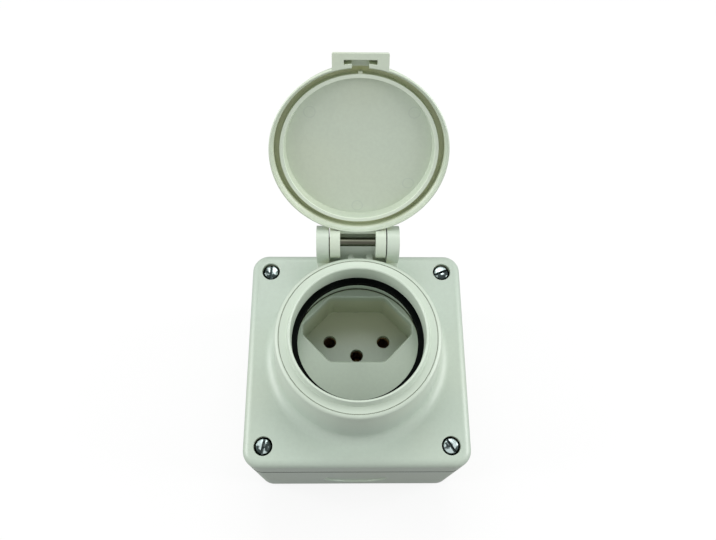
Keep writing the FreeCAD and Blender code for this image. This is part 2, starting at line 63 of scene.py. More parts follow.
# Camera: place, turns about x, y and z in radians, and focal length and width of the sensor in millimetres
CAMERA_PLACE = (-4.383 * MM, -62.999 * MM, 280.661 * MM)
CAMERA_PITCH = 0.3961
CAMERA_YAW = -0.0201
CAMERA_ROLL = 0.00255
CAMERA_LENS = 34.07
CAMERA_SENSOR = 36.0

# Studio: even surroundings, and soft lamps by place, side and power in watts
WORLD_LIGHT = 0.53
LEFT_LAMP = ((-0.45, 0.0, 0.25), 0.3, 1.30)
RIGHT_LAMP = ((0.45, 0.0, 0.25), 0.3, 1.38)
HINGE_SIDE_LAMP = ((0.0, 0.16, 0.30), 0.15, 0.27)

# The floor: its side, how pale it looks, how much light it throws back, how white it shines for the camera
# and for what mirrors it, and the gap under the box
FLOOR_SIDE = 6.0
FLOOR_SEEN = 0.95
FLOOR_BOUNCE = 0.25
FLOOR_WHITE = 0.80
FLOOR_MIRRORED = 0.2
FLOOR_GAP = 0.02 * MM

# Edge rounding: its widths, and the share that it may take of the room beside an edge
SHELL_EDGE = 0.22 * MM
SMALL_EDGE = 0.12 * MM
THIN_EDGE = 0.06 * MM
ROOM_SHARE = 0.4

# Angles that count as an edge, as flat and as smooth; the lean by which a face counts as a round facet; the
# share from which it faces up or down; and the gap under which two corners are one
EDGE_ANGLE = math.radians(38)
FLAT_ANGLE = math.radians(0.4)
SMOOTH_ANGLE = math.radians(42)
FACET_LEAN = 0.1
FACING = 0.9
MERGE_GAP = 0.001 * MM

# How many times as wide the pressed seal is as the loose one
SEAL_SWELL = 1.0036

# Colours, linear
PLASTIC = (0.500, 0.590, 0.505, 1)
PLASTIC_WARM = (0.530, 0.592, 0.480, 1)
# The lid's colours are paler than the housing's: painted light, for the light that the lid catches
LID_PLASTIC_LIT = (0.610, 0.695, 0.575, 1)
LID_WARM_LIT = (0.640, 0.695, 0.530, 1)
INSERT_PLASTIC = (0.475, 0.560, 0.460, 1)
# A painted highlight: the paler colour of the housing's raised parts, which catch more light
HIGHLIGHT_PLASTIC = (0.570, 0.655, 0.555, 1)
# Painted shade, dark and olive, in the lid's groove
GROOVE_SHADE = (0.485, 0.520, 0.205, 1)
# Painted shade in the upper part of the insert's recess
RECESS_SHADE = (0.520, 0.560, 0.400, 1)
DUST_TONE = (0.40, 0.42, 0.36, 1)
# Painted shade: dark in narrow gaps, paler in the insert's, and warmer in hollows
GAP_SHADE = (0.05, 0.055, 0.04, 1)
INSERT_GAP_SHADE = (0.24, 0.26, 0.19, 1)
HOLLOW_SHADE = (0.56, 0.62, 0.45, 1)
RUBBER = (0.0012, 0.002, 0.0018, 1)
RUBBER_DUST = (0.03, 0.032, 0.03, 1)
ZINC = (0.52, 0.62, 0.61, 1)
# Painted dark on the screw heads: shade in the slots, and dark reflections in patches
ZINC_PAINTED_DARK = (0.012, 0.020, 0.019, 1)
# The pin's steel is painted dark, as a dark reflection along the pin
PIN_STEEL_DARKENED = (0.15, 0.155, 0.12, 1)
STEEL_DARK = (0.05, 0.05, 0.035, 1)
BRASS = (0.34, 0.23, 0.10, 1)
BRASS_DARK = (0.09, 0.06, 0.03, 1)

# How far painted shade reaches in slots, gaps and hollows, as dark shade and as a deeper tint, and between
# which shares of open sky
SCREW_SHADE_REACH = 1.1 * MM
SCREW_SHADE_SKY = (0.85, 0.5)
GAP_SHADE_REACH = 0.8 * MM
GAP_SHADE_SKY = (0.55, 0.25)
HOLLOW_REACH = 3.0 * MM
HOLLOW_SKY = (0.65, 0.2)
SKY_SAMPLES = 12

# Fineness of the patterns, in repeats per metre
TONE_SCALE = 22.0
GRAIN_SCALE = 900.0
DUST_SCALE = 60.0
RUBBER_SCALE = 1500.0
DARK_REFLECTION_SCALE = 330.0
TOOL_MARK_SCALE = 1400.0
DRAWN_LINE_SCALE = 1800.0
TARNISH_SCALE = 250.0

# Fine relief of each finish: strength and height
PLASTIC_RELIEF = (0.12, 0.04 * MM)
RUBBER_RELIEF = (0.25, 0.03 * MM)
PLATE_RELIEF = (0.5, 0.06 * MM)
DRAWN_RELIEF = (0.2, 0.03 * MM)
BRASS_RELIEF = (0.2, 0.04 * MM)
PLASTIC_IOR = 1.5

# Screws: heads, slots and threads
COVER_HEAD_H = 1.9 * MM
COVER_SLOT_DEPTH = 1.4 * MM
COVER_PITCH = 0.8 * MM
TERMINAL_HEAD_H = 1.4 * MM
TERMINAL_SLOT_DEPTH = 0.7 * MM
TERMINAL_PITCH = 0.5 * MM
SLOT_TURNS = (88, 22, 80, 122)

# A screw's shape: shank, slot and point as shares of a radius, and the dome as a share of the head's height
SHANK_SHARE = 0.57
CORE_SHARE = 0.82
SLOT_SHARE = 0.36
DOME_SHARE = 0.3
POINT_SHARE = 0.45
HEAD_SIDES = 48
DOME_STEPS = 6
DOME_LAST_STEP = 0.9
THREAD_STEPS = 20

# Places of openings: the knock-out's height, and the square of the wall-fixing holes
KNOCKOUT_HEIGHT = 18.5 * MM
WALL_HOLE_PITCH = 46.0 * MM

# The lid: how far it stands open, its floor's height when shut, and the groove between rib and rim: radii and
# heights, what still counts as its floor, and how much of the painted shade its mouth has
LID_OPENING = math.radians(122.8)
LID_FLOOR_HEIGHT = 81.2 * MM
GROOVE_IN_R = 24.1 * MM
GROOVE_OUT_R = 26.1 * MM
GROOVE_MOUTH_HEIGHT = 78.3 * MM
GROOVE_FLOOR_HEIGHT = 80.5 * MM
GROOVE_SPARE = 0.3 * MM
GROOVE_MOUTH_SHADE = 0.15

# Round marks that the mould's ejector pins leave in the lid: across and away from the hinge, and radius
EJECTOR_MARKS = (
    (15.7 * MM, -11.7 * MM),
    (-0.3 * MM, -19.8 * MM),
    (-14.9 * MM, 11.7 * MM),
    (16.4 * MM, 11.7 * MM),
)
EJECTOR_R = 1.7 * MM
EJECTOR_LINE = 0.3 * MM
EJECTOR_TONE = (0.55, 0.63, 0.525, 1)

# The top of the lid's rib, painted paler: a painted highlight where it catches the light
RIB_IN_R = 22.8 * MM
RIB_HIGHLIGHT_DEPTH = 0.35 * MM
RIB_HIGHLIGHT = (0.76, 0.85, 0.71, 1)

# The recess of the insert: the heights and the places towards the hinge between which shade is painted on its
# walls
RECESS_TOP_HEIGHT = 63.2 * MM
RECESS_SHADE_HEIGHT = 58.0 * MM
RECESS_SHADE_LOW = 1.0 * MM
RECESS_SHADE_HIGH = 14.0 * MM

# Heights between which the housing turns from the plain flat of its plate to paler raised parts: a painted
# highlight on the top of the collar and the hinge
HIGHLIGHT_START_HEIGHT = 60.0 * MM
HIGHLIGHT_FULL_HEIGHT = 74.0 * MM

BOX = "box"
LID = "lid"
SCREW_PLACES = ("top_left", "top_right", "bottom_left", "bottom_right")
PIN_NAMES = ("line", "neutral", "earth")
SIDES = ("left", "right")


def only(piece):
    """Leaves one object selected and active."""
    bpy.ops.object.select_all(action="DESELECT")
    piece.hide_set(False)
    piece.select_set(True)
    bpy.context.view_layer.objects.active = piece


def apply_all(piece):
    """Makes the piece's modifiers part of its mesh."""
    only(piece)
    for modifier in list(piece.modifiers):
        bpy.ops.object.modifier_apply(modifier=modifier.name)


def settled(piece):
    """Puts the piece's place into its mesh, so that its object sits at the origin."""
    only(piece)
    bpy.ops.object.transform_apply(location=True, rotation=True, scale=True)


def shaded(piece):
    """Smooth over gentle bends, sharp at edges, with flat faces kept flat."""
    only(piece)
    bpy.ops.object.shade_smooth_by_angle(angle=SMOOTH_ANGLE)
    weighted = piece.modifiers.new("even_normals", "WEIGHTED_NORMAL")
    weighted.keep_sharp = True
    apply_all(piece)


def select_faces(piece, wanted):
    """Goes into edit mode with the faces selected for which the test holds."""
    only(piece)
    bpy.ops.object.mode_set(mode="EDIT")
    bpy.ops.mesh.select_all(action="DESELECT")
    bpy.ops.object.mode_set(mode="OBJECT")
    for face in piece.data.polygons:
        face.select = wanted(face)
    bpy.ops.object.mode_set(mode="EDIT")
    bpy.ops.mesh.select_mode(type="FACE")


def edge_room(edge, sharp):
    """How far the faces beside an edge can draw back from it before they fold over."""
    rooms = []
    for corner in edge.link_loops:
        face = corner.face
        if len(face.verts) > 4:
            rooms.append(2 * face.calc_area() / face.calc_perimeter())
        else:
            rooms.append(face.calc_area() / edge.calc_length())
        turn = 0
        following = corner.link_loop_next
        for start, beside in ((corner, corner.link_loop_prev), (following, following)):
            if start.is_convex and beside.edge in sharp:
                turn += math.tan((math.pi - start.calc_angle()) / 2)
        if turn > 0:
            rooms.append(edge.calc_length() / turn)
    return min(rooms)


def edge_run(edge, sharp):
    """The sharp edges that follow on from one edge, up to where three or more of them meet."""
    run = set()
    waiting = [edge]
    while waiting:
        current = waiting.pop()
        if current in run:
            continue
        run.add(current)
        for vertex in current.verts:
            meeting = [near for near in vertex.link_edges if near in sharp]
            if len(meeting) == 2:
                waiting += meeting
    return run


def rounded(piece, width, segments=2):
    """Rounds each run of sharp edges up to a width, or by a share of the room beside it if that is less."""
    shape = bmesh.new()
    shape.from_mesh(piece.data)
    weights = shape.edges.layers.float.new("bevel_weight_edge")
    sharp = {edge for edge in shape.edges if edge.is_manifold and edge.calc_face_angle(0) > EDGE_ANGLE}
    waiting = set(sharp)
    while waiting:
        run = edge_run(next(iter(waiting)), sharp)
        waiting -= run
        room = min(edge_room(edge, sharp) for edge in run)
        for edge in run:
            edge[weights] = min(1, ROOM_SHARE * room / width)
    shape.to_mesh(piece.data)
    shape.free()
    bevel = piece.modifiers.new("edge", "BEVEL")
    bevel.width = width
    bevel.segments = segments
    bevel.limit_method = "WEIGHT"
    bevel.use_clamp_overlap = False
    apply_all(piece)


def middle(node):
    """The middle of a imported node's box."""
    low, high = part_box(node)
    return (Vector(low) + Vector(high)) / 2


def lid_direction(direction):
    """A direction of the shut lid as it stands in the open lid."""
    return Matrix.Rotation(-LID_OPENING, 3, "X") @ Vector(direction)


def lid_point(across, away):
    """A point of the lid's floor by its offsets from the middle: across, and away from the hinge."""
    hinge = middle("hinge_pin")
    return hinge + lid_direction((across, -away - hinge.y, LID_FLOOR_HEIGHT - hinge.z))


def copied(node, name, across=(), levels=()):
    """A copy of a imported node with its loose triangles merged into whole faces.

    A flat face with a hole is first parted by planes at the given x values and heights, through its holes. A
    face that leans towards such a plane is a facet of something round and stays whole.
    """
    piece = bpy.data.objects.new(name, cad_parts[node].data.copy())
    bpy.context.scene.collection.objects.link(piece)
    piece.data.materials.clear()
    only(piece)
    bpy.ops.object.mode_set(mode="EDIT")
    bpy.ops.mesh.select_all(action="SELECT")
    bpy.ops.mesh.remove_doubles(threshold=MERGE_GAP)
    planes = [((x, 0, 0), (1, 0, 0)) for x in across]
    planes += [((0, 0, z), (0, 0, 1)) for z in levels]
    for place, normal in planes:
        bpy.ops.object.mode_set(mode="OBJECT")
        select_faces(piece, lambda face: abs(face.normal.dot(Vector(normal))) < FACET_LEAN)
        bpy.ops.mesh.bisect(plane_co=place, plane_no=normal)
        bpy.ops.mesh.mark_seam()
    bpy.ops.mesh.select_all(action="SELECT")
    bpy.ops.mesh.dissolve_limited(angle_limit=FLAT_ANGLE, delimit={"SEAM"})
    bpy.ops.object.mode_set(mode="OBJECT")
    return piece


def fitted(piece, body, slot, material, *nodes):
    """Gives a piece its finish and its body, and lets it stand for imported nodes."""
    piece.data.materials.clear()
    piece.data.materials.append(material)
    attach(piece, body)
    if nodes:
        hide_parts(*nodes)


def group(name, inputs, outputs):
    """An empty shader node group with the sockets that are named."""
    tree = bpy.data.node_groups.new(name, "ShaderNodeTree")
    for direction, sockets in (("INPUT", inputs), ("OUTPUT", outputs)):
        for socket, kind, *value in sockets:
            kind = "NodeSocket" + kind
            made = tree.interface.new_socket(name=socket, in_out=direction, socket_type=kind)
            if value:
                made.default_value = value[0]
    return tree, tree.nodes.new("NodeGroupInput"), tree.nodes.new("NodeGroupOutput")


def node_in(tree, kind, inputs=(), **settings):
    """One shader node, with its settings, and its inputs as values or as links from other sockets."""
    made = tree.nodes.new("ShaderNode" + kind)
    for key, value in settings.items():
        setattr(made, key, value)
    for socket, value in dict(inputs).items():
        if isinstance(value, bpy.types.NodeSocket):
            tree.links.new(value, made.inputs[socket])
        else:
            made.inputs[socket].default_value = value
    return made


def noise_in(tree, place, scale, detail=3.0, roughness=0.55):
    """A noise pattern, by its repeats per metre."""
    inputs = {"Vector": place, "Scale": scale, "Detail": detail, "Roughness": roughness}
    return node_in(tree, "TexNoise", inputs)


def range_in(tree, value, low, high, out_low, out_high):
    """A value turned smoothly from one range to another."""
    inputs = {"Value": value, "From Min": low, "From Max": high, "To Min": out_low, "To Max": out_high}
    return node_in(tree, "MapRange", inputs, interpolation_type="SMOOTHSTEP").outputs["Result"]


def mix_in(tree, factor, first, second, blend="MIX"):
    """A colour between two others."""
    made = node_in(tree, "Mix", data_type="RGBA", blend_type=blend)
    for socket, value in ((made.inputs[0], factor), (made.inputs[6], first), (made.inputs[7], second)):
        if isinstance(value, bpy.types.NodeSocket):
            tree.links.new(value, socket)
        else:
            socket.default_value = value
    return made.outputs[2]


def mix_value(tree, factor, first, second):
    """A value between two others."""
    inputs = {"Factor": factor, "A": first, "B": second}
    return node_in(tree, "Mix", inputs, data_type="FLOAT").outputs["Result"]


def moulded_group():
    """Moulded plastic: a faint uneven tone, warmer in patches, and the fine grain of the mould's surface."""
    inputs = [("Place", "Vector"), ("Color", "Color"), ("Warm", "Color")]
    inputs += [("Tone", "Float", 0.5), ("Grain", "Float", 1.0)]
    outputs = [("Color", "Color"), ("Roughness", "Float"), ("Height", "Float")]
    tree, start, end = group("moulded_plastic", inputs, outputs)
    place = start.outputs["Place"]
    broad = noise_in(tree, place, TONE_SCALE, 2.0)
    patch = range_in(tree, broad.outputs["Fac"], 0.35, 0.65, 0.0, 1.0)
    amount = node_in(tree, "Math", {0: patch, 1: start.outputs["Tone"]}, operation="MULTIPLY")
    base = mix_in(tree, amount.outputs[0], start.outputs["Color"], start.outputs["Warm"])
    fine = noise_in(tree, place, GRAIN_SCALE, 4.0)
    speck = range_in(tree, fine.outputs["Fac"], 0.3, 0.7, 0.965, 1.0)
    shade = node_in(tree, "CombineColor", {"Red": speck, "Green": speck, "Blue": speck})
    color = mix_in(tree, 1.0, base, shade.outputs[0], "MULTIPLY")
    rough = range_in(tree, broad.outputs["Fac"], 0.3, 0.7, 0.29, 0.36)
    height = node_in(tree, "Math", {0: fine.outputs["Fac"], 1: start.outputs["Grain"]}, operation="MULTIPLY")
    tree.links.new(color, end.inputs["Color"])
    tree.links.new(rough, end.inputs["Roughness"])
    tree.links.new(height.outputs[0], end.inputs["Height"])
    return tree


def dust_group():
    """Fine dust in clouds over a colour."""
    inputs = [("Place", "Vector"), ("Color", "Color"), ("Dust", "Color"), ("Amount", "Float", 0.1)]
    tree, start, end = group("fine_dust", inputs, [("Color", "Color")])
    place = start.outputs["Place"]
    cloud = noise_in(tree, place, DUST_SCALE, 6.0, 0.7)
    mask = range_in(tree, cloud.outputs["Fac"], 0.48, 0.72, 0.0, 1.0)
    amount = node_in(tree, "Math", {0: mask, 1: start.outputs["Amount"]}, operation="MULTIPLY")
    color = mix_in(tree, amount.outputs[0], start.outputs["Color"], start.outputs["Dust"])
    tree.links.new(color, end.inputs["Color"])
    return tree


def ejector_group():
    """A fine ring round a place, as a mask."""
    inputs = [("Place", "Vector"), ("Middle", "Vector"), ("Radius", "Float"), ("Line", "Float")]
    tree, start, end = group("ejector_mark", inputs, [("Mask", "Float")])
    ends = {0: start.outputs["Place"], 1: start.outputs["Middle"]}
    apart = node_in(tree, "VectorMath", ends, operation="DISTANCE")
    off = node_in(tree, "Math", {0: apart.outputs["Value"], 1: start.outputs["Radius"]}, operation="SUBTRACT")
    size = node_in(tree, "Math", {0: off.outputs[0]}, operation="ABSOLUTE")
    share = node_in(tree, "Math", {0: size.outputs[0], 1: start.outputs["Line"]}, operation="DIVIDE")
    tree.links.new(range_in(tree, share.outputs[0], 0.0, 1.0, 1.0, 0.0), end.inputs["Mask"])
    return tree


MOULDED = moulded_group()
DUST = dust_group()
EJECTOR = ejector_group()


def material(name):
    """A new material, its node tree, its Principled shader and the object's own coordinates."""
    made = bpy.data.materials.new(name)
    made.use_nodes = True
    tree = made.node_tree
    shader = tree.nodes["Principled BSDF"]
    place = tree.nodes.new("ShaderNodeTexCoord").outputs["Object"]
    return made, tree, shader, place


def bumped(tree, shader, height, strength, distance):
    """Fine relief on a shader."""
    bump = node_in(tree, "Bump", {"Height": height, "Strength": strength, "Distance": distance})
    tree.links.new(bump.outputs["Normal"], shader.inputs["Normal"])


def grouped(tree, group_tree, inputs):
    """A shared effect placed in a material, with its own values."""
    made = tree.nodes.new("ShaderNodeGroup")
    made.node_tree = group_tree
    for socket, value in inputs.items():
        if isinstance(value, bpy.types.NodeSocket):
            tree.links.new(value, made.inputs[socket])
        else:
            made.inputs[socket].default_value = value
    return made


def round_the_lid(tree, place):
    """Radius from the lid's axis, and height from its floor as when it is shut."""
    axis = lid_direction((0, 0, 1))
    center = lid_point(0, 0)
    offset = node_in(tree, "VectorMath", {0: place, 1: center}, operation="SUBTRACT").outputs[0]
    height = node_in(tree, "VectorMath", {0: offset, 1: axis}, operation="DOT_PRODUCT").outputs["Value"]
    along = node_in(tree, "VectorMath", {0: axis, "Scale": height}, operation="SCALE").outputs[0]
    flat = node_in(tree, "VectorMath", {0: offset, 1: along}, operation="SUBTRACT").outputs[0]
    return node_in(tree, "VectorMath", {0: flat}, operation="LENGTH").outputs["Value"], height


def ring_mask(tree, radius, inner, outer, height, limit):
    """1 between two radii and below a height of the lid."""
    inside = node_in(tree, "Math", {0: radius, 1: inner}, operation="GREATER_THAN").outputs[0]
    within = node_in(tree, "Math", {0: radius, 1: outer}, operation="LESS_THAN").outputs[0]
    below = node_in(tree, "Math", {0: height, 1: limit}, operation="LESS_THAN").outputs[0]
    ring = node_in(tree, "Math", {0: inside, 1: within}, operation="MULTIPLY").outputs[0]
    return node_in(tree, "Math", {0: ring, 1: below}, operation="MULTIPLY").outputs[0]


def groove_shade_mask(tree, place):
    """1 in the groove of the open lid, rising from its mouth to its floor, and 0 elsewhere: where shade is
    painted.
    """
    radius, height = round_the_lid(tree, place)
    mouth = GROOVE_MOUTH_HEIGHT - LID_FLOOR_HEIGHT
    bottom = GROOVE_FLOOR_HEIGHT - LID_FLOOR_HEIGHT
    deep = range_in(tree, height, mouth, bottom, GROOVE_MOUTH_SHADE, 1.0)
    ring = ring_mask(tree, radius, GROOVE_IN_R, GROOVE_OUT_R, height, bottom + GROOVE_SPARE)
    return node_in(tree, "Math", {0: ring, 1: deep}, operation="MULTIPLY").outputs[0]


def rib_highlight(tree, place, color):
    """A colour with the top of the lid's rib painted paler, as a highlight."""
    radius, height = round_the_lid(tree, place)
    top = GROOVE_MOUTH_HEIGHT - LID_FLOOR_HEIGHT + RIB_HIGHLIGHT_DEPTH
    ring = ring_mask(tree, radius, RIB_IN_R, GROOVE_IN_R, height, top)
    return mix_in(tree, ring, color, RIB_HIGHLIGHT)


def recess_shade_mask(tree, place):
    """1 deep in the upper half of the insert's recess, fading out towards its lower side and its mouth: where
    shade is painted.
    """
    parts = node_in(tree, "SeparateXYZ", {"Vector": place})
    depth = range_in(tree, parts.outputs["Z"], RECESS_TOP_HEIGHT, RECESS_SHADE_HEIGHT, 0.0, 1.0)
    upper = range_in(tree, parts.outputs["Y"], RECESS_SHADE_LOW, RECESS_SHADE_HIGH, 0.0, 1.0)
    return node_in(tree, "Math", {0: depth, 1: upper}, operation="MULTIPLY").outputs[0]


def hollow_mask(tree, reach, begins, full):
    """1 deep in slots and narrow gaps, 0 on open surfaces, for painted shade: begins and full are shares of
    open sky.
    """
    open_share = node_in(tree, "AmbientOcclusion", {"Distance": reach}, samples=SKY_SAMPLES).outputs["AO"]
    return range_in(tree, open_share, begins, full, 0.0, 1.0)


def raised_highlight_mask(tree, place):
    """0 on the plate and the box, rising to 1 at the top of the collar and the hinge: where a highlight is
    painted.
    """
    height = node_in(tree, "SeparateXYZ", {"Vector": place}).outputs["Z"]
    return range_in(tree, height, HIGHLIGHT_START_HEIGHT, HIGHLIGHT_FULL_HEIGHT, 0.0, 1.0)


def lid_marks_and_highlight(tree, place, color):
    """A colour with the lid's ejector marks drawn in as faint rings, and with a highlight painted on the top
    of its rib.
    """
    for across, away in EJECTOR_MARKS:
        spot = lid_point(across, away)
        ring = {"Place": place, "Middle": spot, "Radius": EJECTOR_R, "Line": EJECTOR_LINE}
        mark = grouped(tree, EJECTOR, ring).outputs["Mask"]
        color = mix_in(tree, mark, color, EJECTOR_TONE)
    return rib_highlight(tree, place, color)


def plastic(name, color, warm, tinted, tone=0.35, dust=0.05, marks=None, gap_shade=GAP_SHADE):
    """Moulded plastic, with a tint of painted light where a mask function says, marks drawn on it, and
    painted shade in hollows and narrow gaps.
    """
    made, tree, shader, place = material(name)
    body = grouped(tree, MOULDED, {"Place": place, "Color": color, "Warm": warm, "Tone": tone, "Grain": 1.0})
    mask, tint = tinted
    base = mix_in(tree, mask(tree, place), body.outputs["Color"], tint)
    if marks:
        base = marks(tree, place, base)
    # Painted shade: a warmer tint deep in hollows, and a dark one in narrow gaps
    base = mix_in(tree, hollow_mask(tree, HOLLOW_REACH, *HOLLOW_SKY), base, HOLLOW_SHADE)
    base = mix_in(tree, hollow_mask(tree, GAP_SHADE_REACH, *GAP_SHADE_SKY), base, gap_shade)
    dusty = {"Place": place, "Color": base, "Dust": DUST_TONE, "Amount": dust}
    tree.links.new(grouped(tree, DUST, dusty).outputs["Color"], shader.inputs["Base Color"])
    tree.links.new(body.outputs["Roughness"], shader.inputs["Roughness"])
    shader.inputs["IOR"].default_value = PLASTIC_IOR
    bumped(tree, shader, body.outputs["Height"], *PLASTIC_RELIEF)
    return made


def rubber(name):
    """Black seal rubber, dull and a little dusty."""
    made, tree, shader, place = material(name)
    dusty = {"Place": place, "Color": RUBBER, "Dust": RUBBER_DUST, "Amount": 0.12}
    tree.links.new(grouped(tree, DUST, dusty).outputs["Color"], shader.inputs["Base Color"])
    shader.inputs["Specular IOR Level"].default_value = 0.03
    fine = noise_in(tree, place, RUBBER_SCALE, 3.0)
    tree.links.new(range_in(tree, fine.outputs["Fac"], 0.3, 0.7, 0.5, 0.66), shader.inputs["Roughness"])
    bumped(tree, shader, fine.outputs["Fac"], *RUBBER_RELIEF)
    return made


def plated_steel(name):
    """Bright zinc plate with tool marks, dark patches painted in as dark reflections, and painted shade in
    the slot.
    """
    made, tree, shader, place = material(name)
    spots = noise_in(tree, place, DARK_REFLECTION_SCALE, 2.0, 0.5)
    dark_reflection = range_in(tree, spots.outputs["Fac"], 0.47, 0.56, 0.0, 0.95)
    slot = hollow_mask(tree, SCREW_SHADE_REACH, *SCREW_SHADE_SKY)
    # The head is painted dark where its slot is in shade, and in patches as dark reflections
    dark = node_in(tree, "Math", {0: dark_reflection, 1: slot}, operation="MAXIMUM").outputs[0]
    tree.links.new(mix_in(tree, dark, ZINC, ZINC_PAINTED_DARK), shader.inputs["Base Color"])
    shader.inputs["Metallic"].default_value = 1.0
    marks = noise_in(tree, place, TOOL_MARK_SCALE, 5.0, 0.65)
    tree.links.new(range_in(tree, marks.outputs["Fac"], 0.3, 0.7, 0.2, 0.4), shader.inputs["Roughness"])
    bumped(tree, shader, marks.outputs["Fac"], *PLATE_RELIEF)
    return made


def drawn_steel(name):
    """Plain drawn rod: dull grey, painted dark as a dark reflection, with fine lines along it."""
    made, tree, shader, place = material(name)
    drawn = node_in(tree, "Mapping", {"Vector": place, "Scale": (0.02, 1.0, 1.0)}).outputs["Vector"]
    lines = noise_in(tree, drawn, DRAWN_LINE_SCALE, 3.0)
    dark = range_in(tree, lines.outputs["Fac"], 0.35, 0.7, 0.0, 1.0)
    tree.links.new(mix_in(tree, dark, PIN_STEEL_DARKENED, STEEL_DARK), shader.inputs["Base Color"])
    shader.inputs["Metallic"].default_value = 1.0
    tree.links.new(range_in(tree, lines.outputs["Fac"], 0.3, 0.7, 0.08, 0.18), shader.inputs["Roughness"])
    bumped(tree, shader, lines.outputs["Fac"], *DRAWN_RELIEF)
    return made


def brass(name):
    """Brass gone brown with use."""
    made, tree, shader, place = material(name)
    tarnish = noise_in(tree, place, TARNISH_SCALE, 4.0)
    mask = range_in(tree, tarnish.outputs["Fac"], 0.4, 0.65, 0.2, 1.0)
    tree.links.new(mix_in(tree, mask, BRASS, BRASS_DARK), shader.inputs["Base Color"])
    shader.inputs["Metallic"].default_value = 1.0
    tree.links.new(range_in(tree, tarnish.outputs["Fac"], 0.3, 0.7, 0.5, 0.7), shader.inputs["Roughness"])
    bumped(tree, shader, tarnish.outputs["Fac"], *BRASS_RELIEF)
    return made


# The housing gets a painted highlight on its raised parts.
HOUSING_FINISH = plastic("housing_plastic", PLASTIC, PLASTIC_WARM, (raised_highlight_mask, HIGHLIGHT_PLASTIC))
# The lid: paler plastic as painted light, painted shade in its groove, and a painted highlight on its rib.
LID_FINISH = plastic("lid_plastic", LID_PLASTIC_LIT, LID_WARM_LIT, (groove_shade_mask, GROOVE_SHADE), marks=lid_marks_and_highlight)
# The insert gets painted shade in its recess and in its gaps.
INSERT_SHADE = (recess_shade_mask, RECESS_SHADE)
INSERT_FINISH = plastic(
    "insert_plastic", INSERT_PLASTIC, PLASTIC_WARM, INSERT_SHADE, tone=0.2, dust=0.03, gap_shade=INSERT_GAP_SHADE
)
RUBBER_FINISH = rubber("seal_rubber")
SCREW_FINISH = plated_steel("zinc_plated_steel")
PIN_FINISH = drawn_steel("hinge_pin_steel")
BRASS_FINISH = brass("contact_brass")


def dressed(node, width, body, slot, finish, across=(0,), levels=()):
    """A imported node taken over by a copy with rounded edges."""
    piece = copied(node, node + "_finished", across, levels)
    rounded(piece, width)
    shaded(piece)
    fitted(piece, body, slot, finish, node)
    return piece


def squeezed_out(seal):
    """Lets the pressed seal stand flush with the walls, so that its dark line shows."""
    only(seal)
    bpy.ops.object.mode_set(mode="EDIT")
    bpy.ops.mesh.select_all(action="SELECT")
    bpy.ops.transform.resize(value=(SEAL_SWELL, SEAL_SWELL, 1), center_override=(0, 0, 0))
    bpy.ops.object.mode_set(mode="OBJECT")


def both(x):
    """The places of a pair that stands even about the middle."""
    return (-x, x)


def mouldings():
    """The plastic mouldings and the rubber rings, each with its edges rounded as a mould leaves them."""
    screw_x = middle("cover_screw_top_right").x
    strap_x = middle("insert_screw_right").x
    pin_x = middle("contact_neutral").x
    hinge_z = middle("hinge_pin").z
    wall_x = WALL_HOLE_PITCH / 2
    shell_cuts = (0,) + both(screw_x)
    dressed("cover", SHELL_EDGE, BOX, "housing", HOUSING_FINISH, shell_cuts, (hinge_z,))
    base_cuts = shell_cuts + both(strap_x) + both(wall_x)
    dressed("base_box", SHELL_EDGE, BOX, "housing", HOUSING_FINISH, base_cuts, (KNOCKOUT_HEIGHT,))
    dressed("lid", SMALL_EDGE, LID, "housing", LID_FINISH, (0,), (hinge_z,))
    dressed("socket_face", SMALL_EDGE, BOX, "insert", INSERT_FINISH, (0,) + both(pin_x))
    dressed("socket_body", SMALL_EDGE, BOX, "insert", INSERT_FINISH, (0,) + both(pin_x) + both(strap_x))
    dressed("collar_gasket", SMALL_EDGE, BOX, "seal", RUBBER_FINISH)
    squeezed_out(dressed("base_seal", SMALL_EDGE, BOX, "seal", RUBBER_FINISH))
    for place in SCREW_PLACES:
        node = "screw_washer_" + place
        dressed(node, THIN_EDGE, BOX, "seal", RUBBER_FINISH, (middle(node).x,))


def metal_parts():
    """The hinge pin, and the brass sleeves behind the pin holes."""
    dressed("hinge_pin", SMALL_EDGE, BOX, "screw", PIN_FINISH)
    for name in PIN_NAMES:
        node = "contact_" + name
        dressed(node, THIN_EDGE, BOX, "contact", BRASS_FINISH, (middle(node).x,))


def thread(shank_r, core_r, pitch, top, length):
    """A pointed ridge that winds down the core."""
    depth = shank_r - core_r
    bpy.ops.object.select_all(action="DESELECT")
    upright = (math.pi / 2, 0, 0)
    bpy.ops.mesh.primitive_circle_add(vertices=3, radius=depth, fill_type="NOTHING", rotation=upright)
    ridge = bpy.context.active_object
    settled(ridge)
    bpy.ops.object.mode_set(mode="EDIT")
    bpy.ops.mesh.select_all(action="SELECT")
    bpy.ops.transform.rotate(value=math.pi / 2, orient_axis="Y", center_override=(0, 0, 0))
    low = min(v.co.x for v in ridge.data.vertices)
    high = max(v.co.x for v in ridge.data.vertices)
    bpy.ops.transform.translate(value=(shank_r - max(high, -low), 0, top))
    bpy.ops.object.mode_set(mode="OBJECT")
    winding = ridge.modifiers.new("winding", "SCREW")
    winding.screw_offset = -pitch
    winding.iterations = int(length / pitch)
    winding.steps = THREAD_STEPS
    winding.render_steps = THREAD_STEPS
    winding.use_merge_vertices = False
    apply_all(ridge)
    bpy.ops.object.mode_set(mode="EDIT")
    bpy.ops.mesh.select_all(action="SELECT")
    bpy.ops.mesh.normals_make_consistent(inside=False)
    bpy.ops.object.mode_set(mode="OBJECT")
    return ridge


